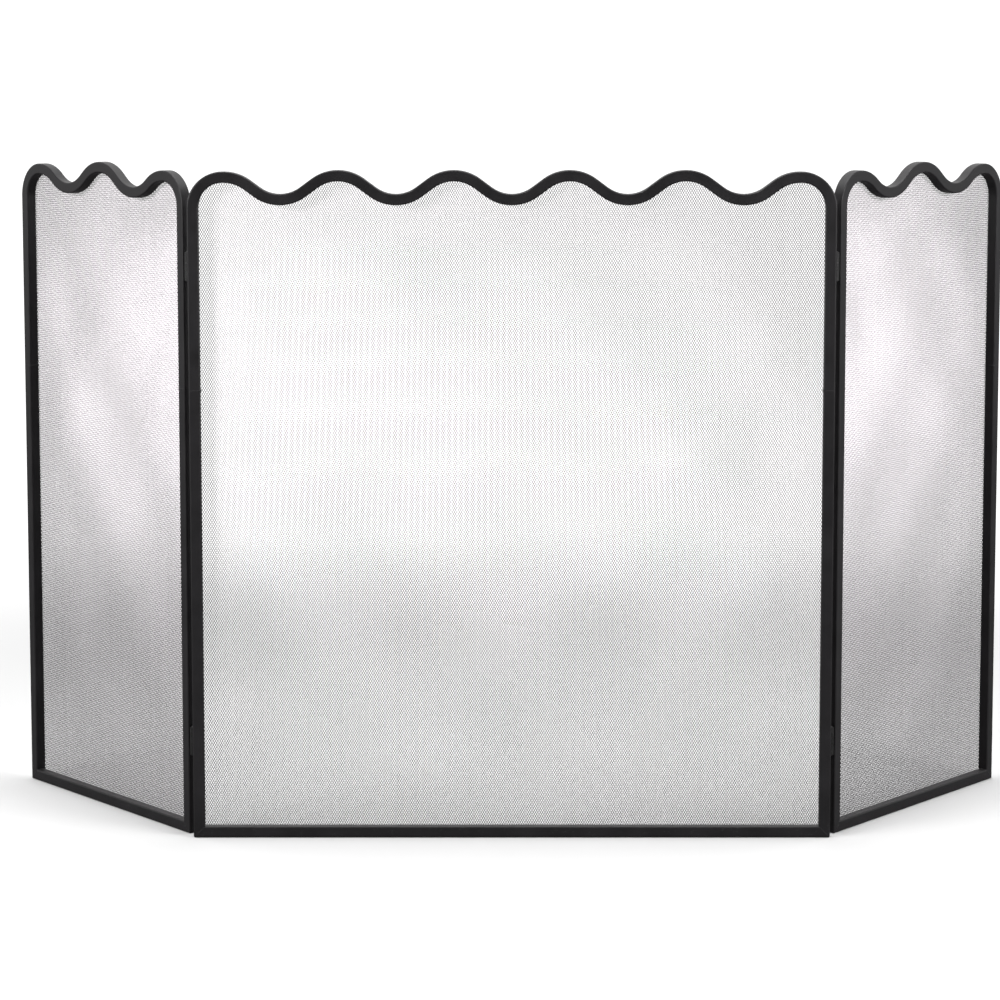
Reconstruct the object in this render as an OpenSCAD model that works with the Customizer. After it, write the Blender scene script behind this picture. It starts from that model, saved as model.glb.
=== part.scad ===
// Three-panel folding fireplace screen. A wide centre panel carries a narrower wing on each side.
// Each panel is a square steel tube frame with a wavy top, and expanded metal behind its opening.
// Units are millimetres. X runs across the centre panel, Y runs back towards the fire, Z is up.
// The origin is on the floor, at the middle of the whole screen as it stands.

/* [Tube] */
// outside width and depth of the square tube
tube = 12.7; // [12:0.1:14]
// wall thickness of the tube
wall = 1.2; // [1:0.1:1.5]
// outside radius of the tube's long edges
edge_radius = 1.6; // [1.5:0.1:3]
// radius ground on the welded bottom corners
ground_radius = 2.2; // [1.5:0.1:2.4]
// height of the butt weld between each bent top tube and its stiles
seam_height = 519; // [450:1:600]

/* [Wavy tops] */
// slope of the straight lengths between crests and troughs
slope = 36.5; // [34:0.1:38]
// centreline radius of the end bends, from the wave down into the stiles
end_radius = 34; // [32:0.1:38]
// straight length on top of each end crest
crown = 1.5; // [1.2:0.1:3]

/* [Centre panel] */
// height of the crests of the centre panel
centre_height = 770; // [740:1:800]
// centreline radius of each crest and trough
centre_radius = 44; // [42:0.1:46]
// straight length between a crest and the next trough
centre_straight = 16.5; // [15:0.1:18]
// straight length beside the end crests
centre_end_straight = 13.6; // [12:0.1:16]

/* [Wings] */
// height of the middle crest of a wing
wing_height = 773.7; // [745:0.1:805]
// centreline radius of each crest and trough
wing_radius = 52; // [50:0.1:54]
// straight length between the middle crest and the troughs
wing_straight = 11.2; // [9:0.1:14]
// straight length between the troughs and the end crests
wing_end_straight = 1.2; // [1.2:0.1:4]
// how far the wings are folded back from the line of the centre panel
fold = 50; // [0:1:100]

/* [Mesh] */
// thickness of the expanded metal sheet
mesh_thickness = 1.2; // [1:0.1:1.5]
// distance from the frame's outside edge to the edge of the sheet
mesh_inset = 3; // [2.5:0.1:4]

/* [Hinges] */
// height of the bottom hinge, and of the top hinge below the centre crests
hinge_offset = 110; // [80:1:140]
// height of a hinge leaf
leaf_height = 32; // [30:1:40]
// thickness of a hinge leaf
leaf_thickness = 1.5; // [1.2:0.1:1.5]
// outside radius of the hinge knuckles
knuckle_radius = 3.4; // [3.2:0.1:3.4]
// distance from the pin's axis to the face that each leaf is fixed on
pin_offset = 3.75; // [3.75:0.05:4]
// height of the middle knuckle, which is on the centre panel's leaf
middle_knuckle = 8; // [6:1:10]
// radius of the hinge pin
pin_radius = 1.5; // [1.4:0.1:1.6]
// how far the pin's axis stands outside the centre panel's edge
pin_outboard = 1.4; // [1:0.1:2]

/* [Hidden] */
$fn = 48;

// length and rise of the centreline from a trough to a crest, with a given radius and straight
function wave_length(radius, straight) = 2 * radius * sin(slope) + straight * cos(slope);
function wave_rise(radius, straight) = 2 * radius * (1 - cos(slope)) + straight * sin(slope);

// distance from a panel's outside edge to where its wave starts
wave_start = tube / 2 + end_radius + crown;

// crests and troughs along a top tube, as [x, z] of the centreline, from its left end crest
function wave_line(halves, radius, straight, end_straight, height) =
    let (long = wave_length(radius, straight),
        short = wave_length(radius, end_straight),
        crest = height - tube / 2,
        trough = crest - wave_rise(radius, straight),
        end_crest = trough + wave_rise(radius, end_straight))
    [for (i = [0:halves])
        let (end = i == 0 || i == halves)
        [wave_start + (i == 0 ? 0 : short + (i - 1) * long) + (i == halves ? short - long : 0),
            end ? end_crest : i % 2 == 0 ? crest : trough]];

centre_line = wave_line(10, centre_radius, centre_straight, centre_end_straight, centre_height);
wing_line = wave_line(4, wing_radius, wing_straight, wing_end_straight, wing_height);
centre_width = centre_line[0][0] + centre_line[10][0];
wing_width = wing_line[0][0] + wing_line[4][0];

// straight lengths run this far into the bends, and are this much slimmer than them all round
joint_overlap = 0.5;
joint_step = 0.02;

panel_depth = tube + mesh_thickness;
top_hinge = centre_height - hinge_offset;
bottom_hinge = hinge_offset;
knuckle_gap = 0.4;
leaf_clearance = 0.4;
outer_knuckle = (leaf_height - middle_knuckle - 2 * knuckle_gap) / 2;
running_clearance = 0.06;
seat_clearance = 0.02;
fixed_leaf_end = tube - 0.6;
wing_leaf_end = tube - 0.4;
pin_head_radius = 2.5;
pin_head_height = 1.2;

rivet_radius = 1.2;
rivet_hole = 1.3;
rivet_head = 1.9;
rivet_head_height = 0.7;
rivet_tail = 2.2;
rivet_spread = 10.5;
fixed_rivet_inset = 7.6;
wing_rivet_depth = 9.6;
over = 1;

// front of the centre panel and the depth of the whole screen
corner_back = pin_offset * (1 + sin(fold) - cos(fold)) + panel_depth;
screen_depth = corner_back + max(
    (wing_width - edge_radius) * sin(fold) + (tube - edge_radius) * cos(fold) + edge_radius,
    (wing_width - mesh_inset) * sin(fold) + panel_depth * cos(fold));
front = -screen_depth / 2;

coat = [0.14, 0.14, 0.15];
arch_coat = [0.20, 0.20, 0.22];
mesh_coat = [0.45, 0.45, 0.47];
leaf_coat = [0.35, 0.25, 0.20];
knuckle_coat = [0.25, 0.30, 0.40];
pin_coat = [0.65, 0.60, 0.35];
rivet_coat = [0.75, 0.75, 0.78];

module rounded(side, radius) {
    square([side, side - 2 * radius], center = true);
    square([side - 2 * radius, side], center = true);
    for (sx = [-1, 1], sy = [-1, 1])
        translate([sx * (side / 2 - radius), sy * (side / 2 - radius)])
            circle(r = radius);
}

// section of the tube, made slimmer on its inner and outer sides by the given step
module tube_section(step = 0) {
    difference() {
        rounded(tube - 2 * step, edge_radius - step);
        rounded(tube - 2 * wall + 2 * step, edge_radius - wall + step);
    }
}

// tube bent about [x, z] between two angles, measured from +X towards +Z
module bend(x, z, radius, from, to) {
    translate([x, tube / 2, z])
        rotate([90, 0, 0])
            rotate([0, 0, from])
                rotate_extrude(angle = to - from)
                    translate([radius, 0])
                        tube_section();
}

// straight tube from [x, z] in the direction given by its angle from +X
module run(x, z, length, angle, step = 0) {
    translate([x, tube / 2, z])
        rotate([0, 90 - angle, 0])
            linear_extrude(length)
                tube_section(step);
}

// straight length whose ends are joined into the bends before and after it
module link(x, z, length, angle) {
    run(x - joint_overlap * cos(angle), z - joint_overlap * sin(angle),
        length + 2 * joint_overlap, angle, joint_step);
}

// the straight length between one crest or trough and the next one to its right
module slope_link(a, b, radius) {
    side = b[1] > a[1] ? 1 : -1;
    link(a[0] + radius * sin(slope), a[1] + side * radius * (1 - cos(slope)),
        (b[0] - a[0] - 2 * radius * sin(slope)) / cos(slope), side * slope);
}

// a crest or a trough between two others
module wave_bend(line, i, radius) {
    side = line[i][1] > line[i - 1][1] ? 1 : -1;
    bend(line[i][0], line[i][1] - side * radius, radius,
        180 - side * 90 - slope, 180 - side * 90 + slope);
}

// the bent top tube of a panel: wave, end bends and the legs down to the seams
module arch(line, radius) {
    last = len(line) - 1;
    crest = line[0][1];
    left = line[0][0];
    right = line[last][0];
    low = crest - end_radius;
    for (i = [1:last - 1])
        wave_bend(line, i, radius);
    for (i = [0:last - 1])
        slope_link(line[i], line[i + 1], radius);
    bend(left, crest - radius, radius, 90 - slope, 90);
    bend(right, crest - radius, radius, 90, 90 + slope);
    link(left - crown, crest, crown, 0);
    link(right, crest, crown, 0);
    bend(left - crown, low, end_radius, 90, 180);
    bend(right + crown, low, end_radius, 0, 90);
    run(tube / 2, seam_height, low - seam_height + joint_overlap, 90, joint_step);
    run(left + right - tube / 2, seam_height, low - seam_height + joint_overlap, 90, joint_step);
}

// removes what lies under (side -1) or over (side 1) the corner's 45 degree joint
module mitre_cut(side) {
    rotate([0, -45, 0])
        translate([-tube, -over, side > 0 ? 0 : -3 * tube])
            cube([4 * tube, tube + 2 * over, 3 * tube]);
}

// removes the sharp outer corner that is ground round after welding
module ground_corner() {
    difference() {
        translate([-over, -over, -over])
            cube([ground_radius + over, tube + 2 * over, ground_radius + over]);
        translate([ground_radius, -2 * over, ground_radius])
            rotate([-90, 0, 0])
                cylinder(r = ground_radius, h = tube + 4 * over);
    }
}

// lower stile at the panel's left edge, standing on the mitred corner
module stile() {
    difference() {
        run(tube / 2, 0, seam_height, 90);
        mitre_cut(-1);
        ground_corner();
    }
}

module across(width) {
    translate([width, 0, 0])
        mirror([1, 0, 0])
            children();
}

module rail(width) {
    difference() {
        run(0, tube / 2, width, 0);
        mitre_cut(1);
        ground_corner();
        across(width) mitre_cut(1);
        across(width) ground_corner();
    }
}

// outline points of the sheet's top edge, outside the tube's centreline by the given offset
steps = 8;
function arc_points(x, z, radius, from, to) =
    [for (i = [0:steps - 1]) let (t = from + (to - from) * i / (steps - 1))
        [x + radius * cos(t), z + radius * sin(t)]];
function crest_points(p, radius, from, to) =
    arc_points(p[0], p[1] - radius, radius + sheet_offset, from, to);
function trough_points(p, radius) =
    arc_points(p[0], p[1] + radius, radius - sheet_offset, 270 - slope, 270 + slope);
sheet_offset = tube / 2 - mesh_inset;

module sheet(line, radius) {
    last = len(line) - 1;
    left = line[0][0];
    right = line[last][0];
    low = line[0][1] - end_radius;
    waves = [for (i = [1:last - 1], p = i % 2 == 1 ? trough_points(line[i], radius)
        : crest_points(line[i], radius, 90 + slope, 90 - slope)) p];
    edge = concat(
        [[mesh_inset, mesh_inset]],
        arc_points(left - crown, low, end_radius + sheet_offset, 180, 90),
        crest_points(line[0], radius, 90, 90 - slope),
        waves,
        crest_points(line[last], radius, 90 + slope, 90),
        arc_points(right + crown, low, end_radius + sheet_offset, 90, 0),
        [[left + right - mesh_inset, mesh_inset]]);
    translate([0, panel_depth, 0])
        rotate([90, 0, 0])
            linear_extrude(mesh_thickness)
                polygon(edge);
}

// one knuckle with its bore, about the pin's axis
module knuckle(low, height, bore) {
    translate([0, 0, low])
        difference() {
            cylinder(r = knuckle_radius, h = height);
            translate([0, 0, -over])
                cylinder(r = bore, h = height + 2 * over);
        }
}

// leaf plate: fixed face at -pin_offset in Y, running from the pin's axis to reach in -X
module leaf_plate(low, height, from, reach) {
    translate([-reach, -pin_offset, low])
        cube([reach - from, leaf_thickness, height]);
}

module rivet_holes(x) {
    for (z = [-rivet_spread, rivet_spread])
        translate([x, -pin_offset - over, z])
            rotate([-90, 0, 0])
                cylinder(r = rivet_hole, h = leaf_thickness + 2 * over);
}

// leaf on the back of the centre panel, with the middle knuckle
module fixed_leaf() {
    reach = pin_outboard + fixed_leaf_end;
    notch = knuckle_radius + leaf_clearance;
    difference() {
        union() {
            leaf_plate(-leaf_height / 2, leaf_height, notch, reach);
            leaf_plate(-middle_knuckle / 2, middle_knuckle, 0, notch + over);
        }
        rivet_holes(-pin_outboard - fixed_rivet_inset);
    }
    difference() {
        knuckle(-middle_knuckle / 2, middle_knuckle, pin_radius + running_clearance);
        leaf_plate(-middle_knuckle / 2 - over, middle_knuckle + 2 * over, 0, notch + over);
    }
}

// leaf on the side of the wing's stile, with the two outer knuckles
module wing_leaf() {
    reach = wing_leaf_end - pin_offset;
    notch = knuckle_radius + leaf_clearance;
    difference() {
        union() {
            leaf_plate(-leaf_height / 2, leaf_height, notch, reach);
            for (side = [0, 1])
                mirror([0, 0, side])
                    leaf_plate(leaf_height / 2 - outer_knuckle, outer_knuckle, 0, notch + over);
        }
        rivet_holes(-(wing_rivet_depth - pin_offset));
    }
    for (side = [0, 1])
        mirror([0, 0, side])
            difference() {
                knuckle(leaf_height / 2 - outer_knuckle, outer_knuckle,
                    pin_radius + seat_clearance);
                leaf_plate(leaf_height / 2 - outer_knuckle - over, outer_knuckle + 2 * over,
                    0, notch + over);
            }
}

module pin() {
    translate([0, 0, -leaf_height / 2 - pin_head_height])
        rotate_extrude()
            polygon([
                [0, 0],
                [pin_head_radius * 0.7, 0],
                [pin_head_radius, pin_head_height * 0.6],
                [pin_head_radius, pin_head_height],
                [pin_radius, pin_head_height],
                [pin_radius, pin_head_height + leaf_height],
                [pin_head_radius, pin_head_height + leaf_height],
                [pin_head_radius, 1.4 * pin_head_height + leaf_height],
                [pin_head_radius * 0.7, 2 * pin_head_height + leaf_height],
                [0, 2 * pin_head_height + leaf_height]]);
}

// rivet along +Y with the underside of its head at Y = 0
module rivet(grip) {
    rotate([90, 0, 0])
        rotate_extrude()
            polygon([
                [0, -rivet_head_height],
                [rivet_head * 0.6, -rivet_head_height],
                [rivet_head, -rivet_head_height * 0.45],
                [rivet_head, 0],
                [rivet_radius, 0],
                [rivet_radius, grip + rivet_tail],
                [0, grip + rivet_tail]]);
}

// frames of reference: the centre panel, the pin axes and the wings
module centre_place() {
    translate([-centre_width / 2, front, 0])
        children();
}

module right_pin_place(height) {
    translate([centre_width / 2 + pin_outboard, front + panel_depth + pin_offset, height])
        children();
}

module right_wing_place() {
    right_pin_place(0)
        rotate([0, 0, fold])
            translate([pin_offset, -pin_offset, 0])
                children();
}

// wing leaf axes: its fixed face is the inner side of the wing's stile
module right_wing_leaf_place(height) {
    right_pin_place(height)
        rotate([0, 0, fold])
            rotate([0, 0, 90])
                mirror([1, 0, 0])
                    children();
}

module to_left() {
    mirror([1, 0, 0])
        children();
}

// shanks through the stile wall and the sheet at one height, on the centre panel's left edge
module fixed_rivet_shanks(radius) {
    for (z = [bottom_hinge, top_hinge], dz = [-rivet_spread, rivet_spread])
        translate([fixed_rivet_inset, panel_depth - mesh_thickness - wall - over, z + dz])
            rotate([-90, 0, 0])
                cylinder(r = radius, h = wall + mesh_thickness + 2 * over);
}

module fixed_holes() {
    fixed_rivet_shanks(rivet_hole);
    across(centre_width) fixed_rivet_shanks(rivet_hole);
}

// holes in the inner side of the wing's stile
module wing_holes() {
    for (z = [bottom_hinge, top_hinge], dz = [-rivet_spread, rivet_spread])
        translate([-over, wing_rivet_depth, z + dz])
            rotate([0, 90, 0])
                cylinder(r = rivet_hole, h = wall + 2 * over);
}

module wing_rivets() {
    for (z = [bottom_hinge, top_hinge], dz = [-rivet_spread, rivet_spread])
        translate([-leaf_thickness, wing_rivet_depth, z + dz])
            rotate([0, 0, 90])
                rivet(leaf_thickness + wall);
}

module fixed_rivets() {
    for (z = [bottom_hinge, top_hinge], dz = [-rivet_spread, rivet_spread])
        translate([fixed_rivet_inset, panel_depth + leaf_thickness, z + dz])
            rivet(leaf_thickness + mesh_thickness + wall);
}

module centre_arch() {
    color(arch_coat) centre_place() difference() {
        arch(centre_line, centre_radius);
        fixed_holes();
    }
}

module centre_left_stile() {
    color(coat) centre_place() difference() {
        stile();
        fixed_holes();
    }
}

module centre_right_stile() {
    color(coat) centre_place() difference() {
        across(centre_width) stile();
        fixed_holes();
    }
}

module centre_rail() {
    color(coat) centre_place() rail(centre_width);
}

module centre_mesh() {
    color(mesh_coat) centre_place() difference() {
        sheet(centre_line, centre_radius);
        fixed_holes();
    }
}

module wing_arch() {
    difference() {
        arch(wing_line, wing_radius);
        wing_holes();
    }
}

module wing_inner_stile() {
    difference() {
        stile();
        wing_holes();
    }
}

module right_arch() {
    color(arch_coat) right_wing_place() wing_arch();
}

module right_outer_stile() {
    color(coat) right_wing_place() across(wing_width) stile();
}

module right_inner_stile() {
    color(coat) right_wing_place() wing_inner_stile();
}

module right_rail() {
    color(coat) right_wing_place() rail(wing_width);
}

module right_mesh() {
    color(mesh_coat) right_wing_place() sheet(wing_line, wing_radius);
}

module left_arch() {
    color(arch_coat) to_left() right_wing_place() wing_arch();
}

module left_outer_stile() {
    color(coat) to_left() right_wing_place() across(wing_width) stile();
}

module left_inner_stile() {
    color(coat) to_left() right_wing_place() wing_inner_stile();
}

module left_rail() {
    color(coat) to_left() right_wing_place() rail(wing_width);
}

module left_mesh() {
    color(mesh_coat) to_left() right_wing_place() sheet(wing_line, wing_radius);
}

module right_top_hinge_fixed_leaf() {
    color(leaf_coat) right_pin_place(top_hinge) fixed_leaf();
}

module right_bottom_hinge_fixed_leaf() {
    color(leaf_coat) right_pin_place(bottom_hinge) fixed_leaf();
}

module left_top_hinge_fixed_leaf() {
    color(leaf_coat) to_left() right_pin_place(top_hinge) fixed_leaf();
}

module left_bottom_hinge_fixed_leaf() {
    color(leaf_coat) to_left() right_pin_place(bottom_hinge) fixed_leaf();
}

module right_top_hinge_wing_leaf() {
    color(knuckle_coat) right_wing_leaf_place(top_hinge) wing_leaf();
}

module right_bottom_hinge_wing_leaf() {
    color(knuckle_coat) right_wing_leaf_place(bottom_hinge) wing_leaf();
}

module left_top_hinge_wing_leaf() {
    color(knuckle_coat) to_left() right_wing_leaf_place(top_hinge) wing_leaf();
}

module left_bottom_hinge_wing_leaf() {
    color(knuckle_coat) to_left() right_wing_leaf_place(bottom_hinge) wing_leaf();
}

module right_top_hinge_pin() {
    color(pin_coat) right_pin_place(top_hinge) pin();
}

module right_bottom_hinge_pin() {
    color(pin_coat) right_pin_place(bottom_hinge) pin();
}

module left_top_hinge_pin() {
    color(pin_coat) to_left() right_pin_place(top_hinge) pin();
}

module left_bottom_hinge_pin() {
    color(pin_coat) to_left() right_pin_place(bottom_hinge) pin();
}

module centre_hinge_rivets() {
    color(rivet_coat) centre_place() {
        fixed_rivets();
        across(centre_width) fixed_rivets();
    }
}

module right_hinge_rivets() {
    color(rivet_coat) right_wing_place() wing_rivets();
}

module left_hinge_rivets() {
    color(rivet_coat) to_left() right_wing_place() wing_rivets();
}

centre_arch();
centre_left_stile();
centre_right_stile();
centre_rail();
centre_mesh();
left_arch();
left_outer_stile();
left_inner_stile();
left_rail();
left_mesh();
right_arch();
right_outer_stile();
right_inner_stile();
right_rail();
right_mesh();
left_top_hinge_fixed_leaf();
left_top_hinge_wing_leaf();
left_top_hinge_pin();
left_bottom_hinge_fixed_leaf();
left_bottom_hinge_wing_leaf();
left_bottom_hinge_pin();
right_top_hinge_fixed_leaf();
right_top_hinge_wing_leaf();
right_top_hinge_pin();
right_bottom_hinge_fixed_leaf();
right_bottom_hinge_wing_leaf();
right_bottom_hinge_pin();
centre_hinge_rivets();
left_hinge_rivets();
right_hinge_rivets();
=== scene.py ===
import math

import bpy
import numpy as np
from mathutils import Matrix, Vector


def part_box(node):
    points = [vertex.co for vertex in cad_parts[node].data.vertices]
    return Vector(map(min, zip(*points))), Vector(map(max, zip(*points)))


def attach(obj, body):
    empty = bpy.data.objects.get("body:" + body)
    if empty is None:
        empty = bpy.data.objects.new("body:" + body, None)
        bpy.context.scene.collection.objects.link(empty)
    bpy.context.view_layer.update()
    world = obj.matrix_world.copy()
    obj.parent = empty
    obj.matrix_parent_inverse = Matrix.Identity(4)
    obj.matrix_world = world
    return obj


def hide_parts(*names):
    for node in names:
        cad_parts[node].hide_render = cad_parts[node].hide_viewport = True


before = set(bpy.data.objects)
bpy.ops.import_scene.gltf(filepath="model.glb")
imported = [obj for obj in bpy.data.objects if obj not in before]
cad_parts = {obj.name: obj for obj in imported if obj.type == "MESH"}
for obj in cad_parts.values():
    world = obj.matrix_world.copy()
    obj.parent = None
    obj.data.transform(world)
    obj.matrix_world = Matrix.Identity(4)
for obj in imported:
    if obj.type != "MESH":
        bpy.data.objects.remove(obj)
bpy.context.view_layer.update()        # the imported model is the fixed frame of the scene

MM = 0.001

# Expanded metal sheet: one diamond, one strand, and how the sheet sits behind the tubes
DIAMOND_WIDTH = 2.74 * MM
DIAMOND_HEIGHT = 4.69 * MM
STRAND_WIDTH = 0.60 * MM
STRAND_DEPTH = 0.38 * MM
STRAND_TILT = math.radians(25)  # stretching the slit sheet turns every strand's face sideways
STRAND_JITTER = 0.006 * MM      # sideways, at each turn of a strand
STRAND_SPREAD = 0.03            # how much wider or narrower one strand may be than the next
PIECE_STRANDS = 88              # strands in one piece of the sheet, at most
SHEET_GAP = 0.10 * MM           # from the backs of the tubes to the ridges of the strands
SAG_OF_CREST = 35 * MM          # from the crests to the troughs of the top tube
EDGE_BAND = 60 * MM             # the sheet's top edge and its end bends lie this near to its top

# The sheet isn't quite flat. Its waves turn by so many radians in a metre, and start at so many radians.
SHEET_RIPPLE = 0.22 * MM        # depth of the small waves, which reach the frame
SHEET_BOW = 1.5 * MM            # depth of the large ones, which don't
BOW_MARGIN = 90 * MM            # over which the large waves grow from nothing at the frame
RIPPLE_TURNS = (31.0, 23.0)     # along the panel and upwards
RIPPLE_STARTS = (1.7, 0.6)
BOW_WAVES = ((1.0, 11.0, 9.0, 0.4), (0.6, -17.0, 14.0, 2.1))  # each: size, two turns, start
BOW_SHARE = 0.45                # of the large waves in the bow
RIPPLE_SHARE = 0.35             # of the small waves in the bow

# Frame tube, as the CAD has it
TUBE = 12.7 * MM
TUBE_EDGE = 1.6 * MM
SEAM_HEIGHT = 519 * MM

# Welds
GROUND_RADIUS = 2.2 * MM        # of the outer corners at the floor
SEAM_WIDTH = 1.8 * MM
SEAM_PROUD = 0.11 * MM
SEAM_DEPTH = 0.06 * MM          # how deep the edges of a seam lie in the tube wall
SEAM_PROFILE = ((-0.5, 0), (-0.25, 0.7), (0, 1), (0.25, 0.7), (0.5, 0))  # across: place, height
SEAM_UNEVENNESS = (0.6, 1.2)    # lowest and highest, as shares of SEAM_PROUD
SEAM_SEED = 11
TACK_RADIUS = 1.9 * MM
TACK_HEIGHT = 1.15 * MM
TACK_SPACING = 62 * MM
TACK_SLOPE = 0.44 * math.pi     # how far round its quarter circle a tack's side goes
TACK_SIZES = (0.85, 1.15)       # smallest and largest, as shares of TACK_RADIUS
TACK_DRIFT = 0.04               # of the spacing, to either side
TACK_SEED = 23
SHEET_INSET = 3.0 * MM          # from the frame's outer edge to the sheet's edge

# Colours
TUBE_BLACK = (0.0087, 0.0078, 0.0090)
FLECK_GREY = (0.030, 0.029, 0.030)
DUST_GREY = (0.075, 0.073, 0.072)
SCUFF_GREY = (0.050, 0.050, 0.052)
STRAND_DARK = (0.021, 0.018, 0.020)
STRAND_LIGHT = (0.036, 0.031, 0.035)
STRAND_FLECK = (0.09, 0.08, 0.088)
STRAND_SHEEN = (1.0, 0.90, 0.97, 1.0)
HINGE_DARK = (0.006, 0.006, 0.006)
HINGE_LIGHT = (0.012, 0.0115, 0.012)
BARE_STEEL = (0.14, 0.135, 0.13)

# Grain of the coats, in waves per metre
CLOUD_SCALE = 26.0
FLECK_SCALE = 2100.0
SCRATCH_SCALE = 310.0
STRAND_CLOUD_SCALE = 9.0
STRAND_FLECK_SCALE = 1500.0
HINGE_CLOUD_SCALE = 60.0
HINGE_RUB_SCALE = 420.0
HINGE_PEEL_SCALE = 1100.0

# Between which levels of noise a coat changes, and by how much
SHADE_NOISE = (0.25, 0.75)
FLECK_NOISE = (0.60, 0.80)
FLECK_SHARE = 0.30
DUST_NOISE = (0.30, 0.75)
DUST_SLOPE = (0.55, 1.0)        # dust grows as a face's normal points up, between these shares
SCUFF_NOISE = (0.56, 0.72)
SCUFF_HEIGHT = 0.045            # scuffs fade out this high above the floor
GLOSS_NOISE = (0.2, 0.8)
PATCH_NOISE = (0.3, 0.7)        # darker and lighter patches of the strands and hinges
STRAND_FLECK_NOISE = (0.62, 0.8)
STRAND_FLECK_SHARE = 0.4
RUB_NOISE = (0.60, 0.68)

# Gloss
COAT_IOR = 1.45
TUBE_ROUGHNESS = 0.46
WELD_ROUGHNESS = 0.48
DUST_ROUGHNESS = 0.25           # added where dust lies
STRAND_IOR = 2.0
STRAND_ROUGHNESS = (0.22, 0.30)
HINGE_ROUGHNESS = (0.30, 0.44)
HINGE_PEEL_DEPTH = 0.03 * MM
HINGE_WEAR = 0.5
RIVET_WEAR = 0.8

# Camera, measured from the front face of the centre panel
CAMERA_DISTANCE = 3.423
CAMERA_HEIGHT = 0.909
CAMERA_PITCH = 0.1097
CAMERA_LENS = 109.1
CAMERA_SHIFT = (-0.0119, -0.12)
SENSOR_WIDTH = 36

# Floor, backdrop and lights
FLOOR_RADIUS = 6.0
FLOOR_GAP = 0.4 * MM            # below the feet of the frame
FLOOR_GLOW_START = 0.95         # distance at which the floor starts to fade into the backdrop
FLOOR_GLOW_END = 2.2
FLOOR_AS_SEEN = (0.74, 0.74, 0.74)
FLOOR_AS_LIGHT = (0.20, 0.20, 0.20)
BACKDROP_LEVEL = 1.22           # of the white that the camera sees
FILL_LEVEL = 0.12               # of the same white as a light, in front and at the sides
FADE_START = -0.28              # a direction's share of +Y where that light starts to grow
FADE_END = 0.72                 # and where it is as bright as the white itself
TOP_LIGHT_PLACE = (0, -0.3, 2.6)
TOP_LIGHT_AIM = (0, 0.1, 0.3)
TOP_LIGHT_SIZE = (2.2, 1.6)
TOP_LIGHT_POWER = 55
SIDE_LIGHT_ANGLE = math.radians(54)
SIDE_LIGHT_DISTANCE = 2.5
SIDE_LIGHT_HEIGHT = 1.24
SIDE_LIGHT_AIM = (0, 0, 0.5)
SIDE_LIGHT_SIZE = (1.2, 0.55)
SIDE_LIGHT_POWER = 40


# ---------------------------------------------------------------- node helpers

def new_material(name):
    """An empty node material with its output and its Principled shader."""
    material = bpy.data.materials.new(name)
    material.use_nodes = True
    tree = material.node_tree
    tree.nodes.clear()
    output = tree.nodes.new("ShaderNodeOutputMaterial")
    shader = tree.nodes.new("ShaderNodeBsdfPrincipled")
    tree.links.new(shader.outputs["BSDF"], output.inputs["Surface"])
    return material, tree, shader


def node(tree, kind, **settings):
    """A new node, with attributes set by name and inputs set by their socket name."""
    made = tree.nodes.new(kind)
    for name, value in settings.items():
        if hasattr(made, name):
            setattr(made, name, value)
        else:
            made.inputs[name.replace("_", " ")].default_value = value
    return made


def place(tree):
    """The point in the part's own frame, in metres, which rides along with the piece."""
    return tree.nodes.new("ShaderNodeTexCoord").outputs["Object"]


def noise(tree, where, scale, detail=2.0, roughness=0.5):
    made = node(tree, "ShaderNodeTexNoise", Scale=scale, Detail=detail, Roughness=roughness)
    tree.links.new(where, made.inputs["Vector"])
    return made.outputs["Fac"]


def ramp(tree, value, low, high, to_low=0.0, to_high=1.0):
    """value from low..high is stretched to to_low..to_high, smoothly and with its ends held."""
    made = node(tree, "ShaderNodeMapRange", interpolation_type="SMOOTHSTEP")
    made.inputs["From Min"].default_value = low
    made.inputs["From Max"].default_value = high
    made.inputs["To Min"].default_value = to_low
    made.inputs["To Max"].default_value = to_high
    tree.links.new(value, made.inputs["Value"])
    return made.outputs["Result"]


def maths(tree, operation, a, b):
    made = node(tree, "ShaderNodeMath", operation=operation)
    for socket, value in zip(made.inputs, (a, b)):
        if isinstance(value, (int, float)):
            socket.default_value = value
        else:
            tree.links.new(value, socket)
    return made.outputs["Value"]


def mixed_colour(tree, share, a, b):
    """Colour a where share is 0 and colour b where it is 1; either may be a socket."""
    made = node(tree, "ShaderNodeMix", data_type="RGBA")
    tree.links.new(share, made.inputs["Factor"])
    for socket, value in ((made.inputs[6], a), (made.inputs[7], b)):
        if isinstance(value, tuple):
            socket.default_value = (*value, 1.0)
        else:
            tree.links.new(value, socket)
    return made.outputs[2]


def bumped(tree, shader, height, distance, strength=1.0):
    made = node(tree, "ShaderNodeBump", Strength=strength, Distance=distance)
    tree.links.new(height, made.inputs["Height"])
    tree.links.new(made.outputs["Normal"], shader.inputs["Normal"])


# ---------------------------------------------------------------- materials

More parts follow.
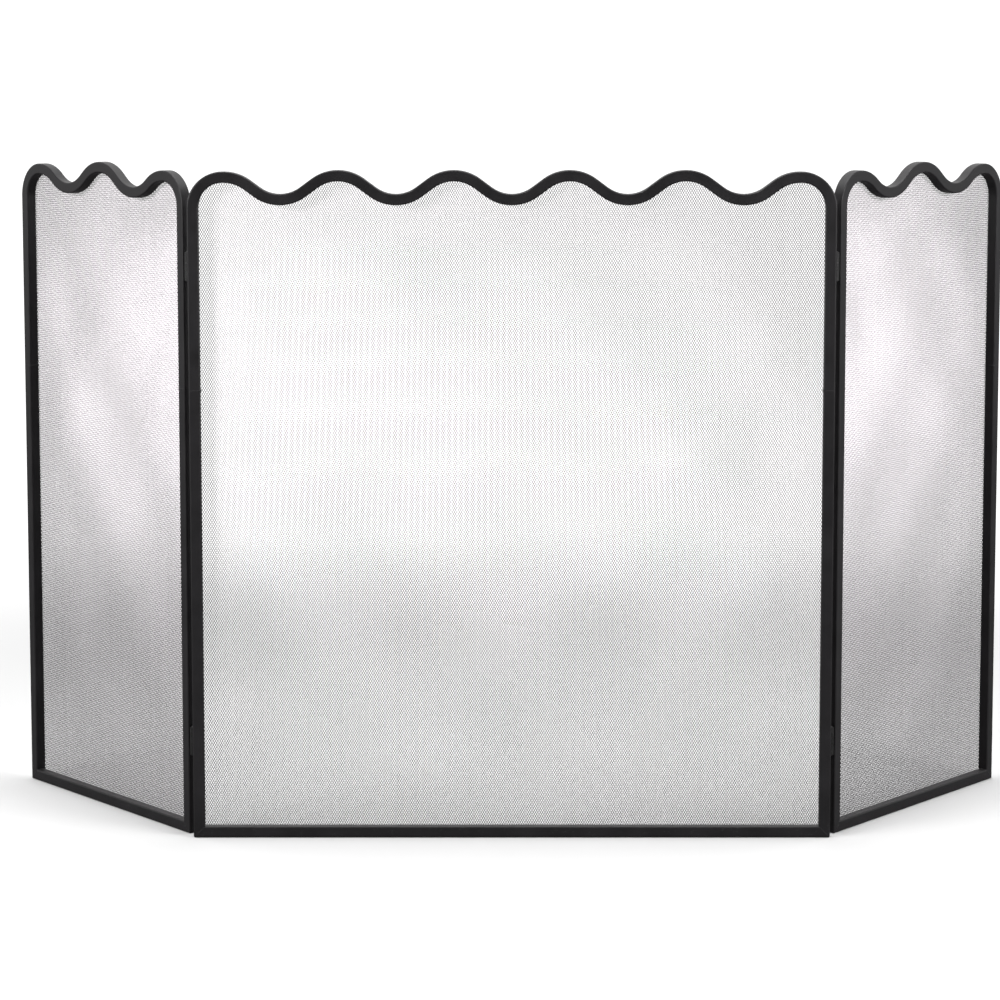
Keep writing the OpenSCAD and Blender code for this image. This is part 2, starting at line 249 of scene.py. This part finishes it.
def powder_coat(name, colour, roughness, dust=0.35, scuffs=0.5, peel=900.0, relief=0.035):
    """Black satin powder coat: fine orange peel, cloudy gloss, dust on top faces and scuffs low down."""
    material, tree, shader = new_material(name)
    where = place(tree)
    clouds = noise(tree, where, CLOUD_SCALE, 4.0, 0.6)
    flecks = noise(tree, where, FLECK_SCALE, 1.0)
    scratches = noise(tree, where, SCRATCH_SCALE, 5.0, 0.72)

    normal = node(tree, "ShaderNodeNewGeometry").outputs["Normal"]
    split = node(tree, "ShaderNodeSeparateXYZ")
    tree.links.new(normal, split.inputs["Vector"])
    upward = ramp(tree, split.outputs["Z"], *DUST_SLOPE)
    dusty = maths(tree, "MULTIPLY", upward, ramp(tree, clouds, *DUST_NOISE, 0.0, dust))

    height = node(tree, "ShaderNodeSeparateXYZ")
    tree.links.new(where, height.inputs["Vector"])
    low_down = ramp(tree, height.outputs["Z"], 0.0, SCUFF_HEIGHT, 1.0, 0.0)
    scuffed = maths(tree, "MULTIPLY", low_down, ramp(tree, scratches, *SCUFF_NOISE, 0.0, scuffs))

    lighter = tuple(1.35 * c for c in colour)
    darker = tuple(0.75 * c for c in colour)
    shade = mixed_colour(tree, ramp(tree, clouds, *SHADE_NOISE), darker, lighter)
    shade = mixed_colour(tree, ramp(tree, flecks, *FLECK_NOISE, 0.0, FLECK_SHARE), shade, FLECK_GREY)
    shade = mixed_colour(tree, dusty, shade, DUST_GREY)
    shade = mixed_colour(tree, scuffed, shade, SCUFF_GREY)
    tree.links.new(shade, shader.inputs["Base Color"])

    gloss = ramp(tree, clouds, *GLOSS_NOISE, roughness - 0.05, roughness + 0.06)
    gloss = maths(tree, "ADD", gloss, maths(tree, "MULTIPLY", dusty, DUST_ROUGHNESS))
    tree.links.new(gloss, shader.inputs["Roughness"])
    shader.inputs["IOR"].default_value = COAT_IOR
    bumped(tree, shader, noise(tree, where, peel, 2.0, 0.55), relief * MM)
    return material


def strand_coat():
    """A thinner and glossier black coat, on the strands of the expanded metal."""
    material, tree, shader = new_material("mesh_strand_coat")
    where = place(tree)
    clouds = noise(tree, where, STRAND_CLOUD_SCALE, 3.0, 0.55)
    grain = noise(tree, where, STRAND_FLECK_SCALE, 1.0)
    shade = mixed_colour(tree, ramp(tree, clouds, *PATCH_NOISE), STRAND_DARK, STRAND_LIGHT)
    flecks = ramp(tree, grain, *STRAND_FLECK_NOISE, 0.0, STRAND_FLECK_SHARE)
    shade = mixed_colour(tree, flecks, shade, STRAND_FLECK)
    tree.links.new(shade, shader.inputs["Base Color"])
    tree.links.new(ramp(tree, clouds, *GLOSS_NOISE, *STRAND_ROUGHNESS), shader.inputs["Roughness"])
    shader.inputs["IOR"].default_value = STRAND_IOR
    shader.inputs["Specular Tint"].default_value = STRAND_SHEEN
    return material


def worn_hinge_coat(name, wear):
    """Hinge paint that is rubbed through in scattered, noise-placed spots, where a little steel shows."""
    material, tree, shader = new_material(name)
    where = place(tree)
    clouds = noise(tree, where, HINGE_CLOUD_SCALE, 3.0, 0.6)
    rubs = noise(tree, where, HINGE_RUB_SCALE, 5.0, 0.7)
    bare = ramp(tree, rubs, *RUB_NOISE, 0.0, wear)
    shade = mixed_colour(tree, ramp(tree, clouds, *PATCH_NOISE), HINGE_DARK, HINGE_LIGHT)
    shade = mixed_colour(tree, bare, shade, BARE_STEEL)
    tree.links.new(shade, shader.inputs["Base Color"])
    tree.links.new(maths(tree, "MULTIPLY", bare, 0.8), shader.inputs["Metallic"])
    tree.links.new(ramp(tree, clouds, *GLOSS_NOISE, *HINGE_ROUGHNESS), shader.inputs["Roughness"])
    bumped(tree, shader, noise(tree, where, HINGE_PEEL_SCALE, 2.0), HINGE_PEEL_DEPTH)
    return material


# ---------------------------------------------------------------- panels, read from the frame

def points(name):
    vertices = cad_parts[name].data.vertices
    flat = np.zeros(len(vertices) * 3)
    vertices.foreach_get("co", flat)
    return flat.reshape(-1, 3)


class Panel:
    """One panel's own axes: along its width, back from its front face, and up."""

    def __init__(self, body, rail):
        self.body = body
        self.rail = rail
        self.sheet = body.replace("_wing", "") + "_mesh"
        self.tilt = -STRAND_TILT if body == "left_wing" else STRAND_TILT
        plan = points(self.sheet)[:, :2]
        spread = np.linalg.svd(plan - plan.mean(0), full_matrices=False)[2]
        along = spread[0] * (1 if spread[0][0] > 0 else -1)
        back = np.array([-along[1], along[0]])
        self.along = np.array([along[0], along[1], 0.0])
        self.back = np.array([back[0], back[1], 0.0])
        self.up = np.array([0.0, 0.0, 1.0])

    def local(self, name):
        """A CAD node's points in this panel's axes."""
        return points(name) @ np.column_stack((self.along, self.back, self.up))

    def world(self, local):
        """Points in this panel's axes, back in the part's frame."""
        return np.asarray(local) @ np.vstack((self.along, self.back, self.up))

    def box(self, name):
        local = self.local(name)
        return local.min(0), local.max(0)


PANELS = [
    Panel("centre", "centre_rail"),
    Panel("left_wing", "left_rail"),
    Panel("right_wing", "right_rail"),
]


# ---------------------------------------------------------------- mesh building

def mesh_piece(name, vertices, faces, material, body, smooth):
    """An object from arrays of points and of faces; each row of faces has one face's corners."""
    mesh = bpy.data.meshes.new(name)
    corners = np.concatenate([f.ravel() for f in faces]).astype(np.int32)
    sizes = np.concatenate([np.full(len(f), f.shape[1]) for f in faces])
    starts = np.concatenate(([0], np.cumsum(sizes)[:-1])).astype(np.int32)
    mesh.vertices.add(len(vertices))
    mesh.vertices.foreach_set("co", np.asarray(vertices, np.float32).ravel())
    mesh.loops.add(len(corners))
    mesh.loops.foreach_set("vertex_index", corners)
    mesh.polygons.add(len(sizes))
    mesh.polygons.foreach_set("loop_start", starts)
    mesh.polygons.foreach_set("use_smooth", np.full(len(sizes), smooth))
    mesh.update(calc_edges=True)
    mesh.validate()
    piece = bpy.data.objects.new(name, mesh)
    bpy.context.scene.collection.objects.link(piece)
    mesh.materials.append(material)
    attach(piece, body)
    return piece


# ---------------------------------------------------------------- expanded metal

def wavy_edge(panel):
    """Points (along, up) on the sheet's top edge, from one end to the other, without any rivet holes."""
    sheet = panel.local(panel.sheet)
    edge = sheet[sheet[:, 2] > sheet[:, 2].max() - EDGE_BAND][:, ::2]
    return edge[np.argsort(edge[:, 0], kind="stable")]


def strand(x_low, lean, tilt, floor, top, rng):
    """One zigzag strand as a three-sided bar: (points in x, depth, z, quads, end caps).

    It leans first one way and then the other, half a diamond at a time, and touches its neighbours
    at every turn. lean is 0 or 1, whichever side it starts on. Its flat face is turned by tilt."""
    half_width = DIAMOND_WIDTH / 2
    half_height = DIAMOND_HEIGHT / 2
    turns = np.arange(int((top - floor) / half_height) + 2)
    z = floor + turns * half_height
    x = x_low + half_width * ((turns + lean) % 2)
    share = (top - z[-2]) / half_height
    x[-1] = x[-2] + share * (x[-1] - x[-2])
    z[-1] = top
    x = x + rng.uniform(-STRAND_JITTER, STRAND_JITTER, len(x))
    slope = math.hypot(half_width, half_height) / half_height
    side = 0.5 * STRAND_WIDTH * slope * rng.uniform(1 - STRAND_SPREAD, 1 + STRAND_SPREAD)
    across = np.array([math.cos(tilt), -math.sin(tilt)]) * side
    rear = np.array([math.sin(tilt), math.cos(tilt)]) * STRAND_DEPTH
    ring = np.empty((len(turns), 3, 3))
    for corner, (dx, depth) in enumerate((-across, across, rear)):
        ring[:, corner] = np.column_stack((x + dx, np.full(len(x), depth), z))
    first = 3 * turns[:-1, None]
    quads = []
    for a, b in ((0, 2), (2, 1), (1, 0)):
        quads.append(np.hstack((first + a, first + a + 3, first + b + 3, first + b)))
    last = 3 * turns[-1]
    caps = np.array([[0, 2, 1], [last, last + 1, last + 2]])
    return ring.reshape(-1, 3), np.vstack(quads), caps


def waves(local, low, high):
    """How far back the sheet stands at each point: nearly flat at the frame and uneven away from it."""
    x, z = local[:, 0], local[:, 2]
    to_edge = np.minimum.reduce([x - low[0], high[0] - x, z - low[2], high[2] - SAG_OF_CREST - z])
    share = np.clip(to_edge / BOW_MARGIN, 0, 1)
    share = share * share * (3 - 2 * share)
    ripple = np.sin(RIPPLE_TURNS[0] * x + RIPPLE_STARTS[0]) * np.sin(RIPPLE_TURNS[1] * z + RIPPLE_STARTS[1])
    bow = sum(size * np.sin(along * x + up * z + start) for size, along, up, start in BOW_WAVES)
    large = SHEET_BOW * share * (BOW_SHARE * bow + RIPPLE_SHARE * ripple)
    return SHEET_RIPPLE * (1 + ripple) + large


def expanded_metal(panel, material):
    """The panel's sheet: strands from edge to edge, cut off along the sheet's own outline."""
    low, high = panel.box(panel.sheet)
    upper = wavy_edge(panel)
    rng = np.random.default_rng(len(panel.body))
    step = DIAMOND_WIDTH / 2
    count = int((high[0] - low[0]) / step) - 1
    margin = ((high[0] - low[0]) - (count + 1) * step) / 2
    pieces = math.ceil(count / PIECE_STRANDS)
    for part in range(pieces):
        chosen = range(part * count // pieces, (part + 1) * count // pieces)
        vertices, quads, caps, used = [], [], [], 0
        for index in chosen:
            x_low = low[0] + margin + index * step
            top = np.interp(x_low + step / 2, upper[:, 0], upper[:, 1])
            ring, faces, ends = strand(x_low, index % 2, panel.tilt, low[2], top, rng)
            vertices.append(ring)
            quads.append(faces + used)
            caps.append(ends + used)
            used += len(ring)
        local = np.concatenate(vertices)
        local[:, 1] += low[1] + SHEET_GAP + STRAND_WIDTH / 4 + waves(local, low, high)
        piece = mesh_piece(
            f"{panel.sheet}_strands_{part + 1}",
            panel.world(local),
            [np.vstack(quads), np.vstack(caps)],
            material,
            panel.body,
            smooth=False,
        )
        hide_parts(panel.sheet)


# ---------------------------------------------------------------- welds

def tube_outline(arc_steps=5, flat_steps=8):
    """Points round the tube's square section and the outward normals there, about its own middle."""
    straight = TUBE / 2 - TUBE_EDGE
    outline, normals = [], []
    for corner in range(4):
        start = corner * math.pi / 2
        halfway = start + math.pi / 4
        middle = straight * np.sign([math.cos(halfway), math.sin(halfway)])
        for angle in np.linspace(start, start + math.pi / 2, arc_steps):
            normal = np.array([math.cos(angle), math.sin(angle)])
            outline.append(middle + TUBE_EDGE * normal)
            normals.append(normal)
        along = np.array([-normal[1], normal[0]])
        for share in np.linspace(0, 1, flat_steps + 2)[1:-1]:
            outline.append(middle + TUBE_EDGE * normal + 2 * straight * share * along)
            normals.append(normal)
    return np.array(outline), np.array(normals)


def seam(middle, across, rng):
    """A dressed weld line round the tube, as a closed ring with a flat base in the wall: points and quads.

    middle is the joint's middle in the panel's axes. across is where the joint's plane runs as it
    crosses the tube: (1, 0, 0) for a butt joint, (1, 0, 1) or (-1, 0, 1) for a mitred corner."""
    outline, normals = tube_outline()
    across = np.array(across, float)
    mitred = across[2] != 0
    sideways = across / np.linalg.norm(across)
    wide = np.cross(sideways, (0, 1, 0))
    offset = outline[:, 0]
    if mitred:
        offset = np.maximum(offset, GROUND_RADIUS * (1 - math.sqrt(0.5)) - TUBE / 2)
    base = middle + offset[:, None] * across + outline[:, 1:] * (0, 1, 0)
    outward = normals[:, :1] * sideways + normals[:, 1:] * (0, 1, 0)
    proud = SEAM_PROUD * rng.uniform(*SEAM_UNEVENNESS, len(base))
    proud = (np.roll(proud, 1) + proud + np.roll(proud, -1)) / 3
    rows = []
    for share, height in SEAM_PROFILE:
        rise = height * proud if height else np.full(len(base), -SEAM_DEPTH)
        rows.append(base + share * SEAM_WIDTH * wide + rise[:, None] * outward)
    vertices = np.stack(rows, axis=1)
    count = len(SEAM_PROFILE)
    ring, row = np.meshgrid(np.arange(len(base)), np.arange(count), indexing="ij")
    after = (ring + 1) % len(base) * count
    ring = ring * count
    beside = (row + 1) % count
    quads = np.stack((ring + row, after + row, after + beside, ring + beside), axis=-1)
    return vertices.reshape(-1, 3), quads.reshape(-1, 4)


def frame_seams(panel, material):
    """The butt welds between the bent top tube and the stiles, and the mitred bottom corners."""
    low, high = panel.box(panel.rail)
    rng = np.random.default_rng(SEAM_SEED + len(panel.body))
    depth = low[1] + TUBE / 2
    vertices, quads, used = [], [], 0
    for x, side in ((low[0] + TUBE / 2, 1), (high[0] - TUBE / 2, -1)):
        for z, across in ((SEAM_HEIGHT, (1, 0, 0)), (TUBE / 2, (side, 0, 1))):
            ring, faces = seam(np.array([x, depth, z]), across, rng)
            vertices.append(ring)
            quads.append(faces + used)
            used += len(ring)
    mesh_piece(
        f"{panel.body}_frame_seams",
        panel.world(np.concatenate(vertices)),
        [np.vstack(quads)],
        material,
        panel.body,
        smooth=True,
    )


def dome(x, depth, z, radius, height, sides=14, rings=4):
    """A flattened weld nugget standing back from the tube: points, quads and its two end faces."""
    angles = np.linspace(0, 2 * math.pi, sides, endpoint=False)
    rows = []
    for step in range(rings + 1):
        lean = TACK_SLOPE * step / rings
        reach = radius * math.cos(lean)
        level = np.full(sides, depth + height * math.sin(lean))
        rows.append(np.column_stack((x + reach * np.cos(angles), level, z + reach * np.sin(angles))))
    row, side = np.meshgrid(np.arange(rings), np.arange(sides), indexing="ij")
    after = (side + 1) % sides
    quads = np.stack((row * sides + side, (row + 1) * sides + side,
                      (row + 1) * sides + after, row * sides + after), axis=-1)
    ends = np.array([np.arange(sides), rings * sides + np.arange(sides)[::-1]])
    return np.vstack(rows), quads.reshape(-1, 4), ends


def mesh_tacks(panel, material):
    """Tack welds that hold the sheet to the backs of the tubes, all round, on the tubes' middle line."""
    low, high = panel.box(panel.sheet)
    outline = np.vstack(([low[0], low[2]], [high[0], low[2]], wavy_edge(panel)[::-1], [low[0], low[2]]))
    legs = np.diff(outline, axis=0)
    outline = outline[np.concatenate(([True], np.linalg.norm(legs, axis=1) > 0.2 * MM))]
    legs = np.diff(outline, axis=0)
    travelled = np.concatenate(([0], np.cumsum(np.linalg.norm(legs, axis=1))))
    count = int(travelled[-1] / TACK_SPACING)
    rng = np.random.default_rng(TACK_SEED + len(panel.body))
    vertices, quads, ends, used = [], [], [], 0
    for index in range(count):
        here = (index + 0.5 + rng.uniform(-TACK_DRIFT, TACK_DRIFT)) * travelled[-1] / count
        leg = np.searchsorted(travelled, here) - 1
        direction = legs[leg] / np.linalg.norm(legs[leg])
        inward = np.array([-direction[1], direction[0]])
        at = outline[leg] + (here - travelled[leg]) * direction + (TUBE / 2 - SHEET_INSET) * inward
        size = rng.uniform(*TACK_SIZES)
        ring, faces, caps = dome(at[0], low[1], at[1], size * TACK_RADIUS, TACK_HEIGHT)
        vertices.append(ring)
        quads.append(faces + used)
        ends.append(caps + used)
        used += len(ring)
    mesh_piece(
        f"{panel.sheet}_tacks",
        panel.world(np.concatenate(vertices)),
        [np.vstack(quads), np.vstack(ends)],
        material,
        panel.body,
        smooth=True,
    )


# ---------------------------------------------------------------- stage, light and camera

def floor_material():
    """Pale floor that brightens outwards until it is as light as the backdrop."""
    material, tree, shader = new_material("pale_floor")
    shader.inputs["Roughness"].default_value = 0.9
    shader.inputs["Specular IOR Level"].default_value = 0.1
    distance = node(tree, "ShaderNodeVectorMath", operation="LENGTH")
    tree.links.new(place(tree), distance.inputs[0])
    share = ramp(tree, distance.outputs["Value"], FLOOR_GLOW_START, FLOOR_GLOW_END)
    seen = tree.nodes.new("ShaderNodeLightPath").outputs["Is Camera Ray"]
    tree.links.new(mixed_colour(tree, seen, FLOOR_AS_LIGHT, FLOOR_AS_SEEN), shader.inputs["Base Color"])
    glow = tree.nodes.new("ShaderNodeEmission")
    tree.links.new(ramp(tree, seen, 0.0, 1.0, FILL_LEVEL, BACKDROP_LEVEL), glow.inputs["Strength"])
    both = node(tree, "ShaderNodeMixShader")
    output = next(n for n in tree.nodes if n.type == "OUTPUT_MATERIAL")
    tree.links.new(share, both.inputs[0])
    tree.links.new(shader.outputs["BSDF"], both.inputs[1])
    tree.links.new(glow.outputs["Emission"], both.inputs[2])
    tree.links.new(both.outputs["Shader"], output.inputs["Surface"])
    return material


def make_floor():
    bpy.ops.mesh.primitive_circle_add(vertices=96, radius=FLOOR_RADIUS, fill_type="NGON")
    floor = bpy.context.active_object
    floor.location.z = -FLOOR_GAP
    floor.name = "floor"
    floor.data.materials.append(floor_material())


def make_world():
    """White all round to the camera; as a light it is a bright backdrop that fades towards the front."""
    world = bpy.data.worlds.new("studio")
    bpy.context.scene.world = world
    world.use_nodes = True
    tree = world.node_tree
    tree.nodes.clear()
    split = tree.nodes.new("ShaderNodeSeparateXYZ")
    tree.links.new(tree.nodes.new("ShaderNodeTexCoord").outputs["Generated"], split.inputs["Vector"])
    light = ramp(tree, split.outputs["Y"], FADE_START, FADE_END, FILL_LEVEL, BACKDROP_LEVEL)
    seen = tree.nodes.new("ShaderNodeLightPath").outputs["Is Camera Ray"]
    sky = node(tree, "ShaderNodeBackground", Color=(1, 1, 1, 1))
    output = tree.nodes.new("ShaderNodeOutputWorld")
    to_camera = maths(tree, "MULTIPLY", seen, BACKDROP_LEVEL)
    tree.links.new(maths(tree, "MAXIMUM", light, to_camera), sky.inputs["Strength"])
    tree.links.new(sky.outputs["Background"], output.inputs["Surface"])


def softbox(name, location, target, size, power):
    light = bpy.data.lights.new(name, "AREA")
    light.shape = "RECTANGLE"
    light.size, light.size_y = size
    light.energy = power
    lamp = bpy.data.objects.new(name, light)
    lamp.location = location
    lamp.rotation_euler = (Vector(target) - Vector(location)).to_track_quat("-Z", "Y").to_euler()
    bpy.context.scene.collection.objects.link(lamp)


def make_camera(front):
    data = bpy.data.cameras.new("camera")
    data.lens = CAMERA_LENS
    data.sensor_width = SENSOR_WIDTH
    data.shift_x, data.shift_y = CAMERA_SHIFT
    camera = bpy.data.objects.new("camera", data)
    camera.location = (0, front - CAMERA_DISTANCE, CAMERA_HEIGHT)
    camera.rotation_euler = (math.pi / 2 - CAMERA_PITCH, 0, 0)
    bpy.context.scene.collection.objects.link(camera)
    bpy.context.scene.camera = camera


# ---------------------------------------------------------------- the scene

def dress(names, material):
    """Gives CAD nodes that stay visible their finished material."""
    for name in names:
        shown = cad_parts[name]
        shown.data.materials.clear()
        shown.data.materials.append(material)


front_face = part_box("centre_rail")[0].y
make_camera(front_face)
make_world()
make_floor()
softbox("top_softbox", TOP_LIGHT_PLACE, TOP_LIGHT_AIM, TOP_LIGHT_SIZE, TOP_LIGHT_POWER)
for side, name in ((-1, "left_softbox"), (1, "right_softbox")):
    sideways = side * SIDE_LIGHT_DISTANCE * math.sin(SIDE_LIGHT_ANGLE)
    forwards = -SIDE_LIGHT_DISTANCE * math.cos(SIDE_LIGHT_ANGLE)
    place_at = (sideways, forwards, SIDE_LIGHT_HEIGHT)
    softbox(name, place_at, SIDE_LIGHT_AIM, SIDE_LIGHT_SIZE, SIDE_LIGHT_POWER)

tube_coat = powder_coat("tube_powder_coat", TUBE_BLACK, TUBE_ROUGHNESS)
hinge_coat = worn_hinge_coat("hinge_paint", HINGE_WEAR)
rivet_coat = worn_hinge_coat("rivet_paint", RIVET_WEAR)
tubes = [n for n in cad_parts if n.endswith(("_arch", "_stile", "_rail"))]
hinges = [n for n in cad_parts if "_hinge_" in n and not n.endswith("_rivets")]
rivets = [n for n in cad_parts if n.endswith("_rivets")]
dress(tubes, tube_coat)
dress(hinges, hinge_coat)
dress(rivets, rivet_coat)

strands = strand_coat()
weld_coat = powder_coat("weld_powder_coat", TUBE_BLACK, WELD_ROUGHNESS, peel=420.0, relief=0.10)
for panel in PANELS:
    expanded_metal(panel, strands)
    frame_seams(panel, weld_coat)
    mesh_tacks(panel, weld_coat)

bpy.context.scene.view_settings.view_transform = "Standard"
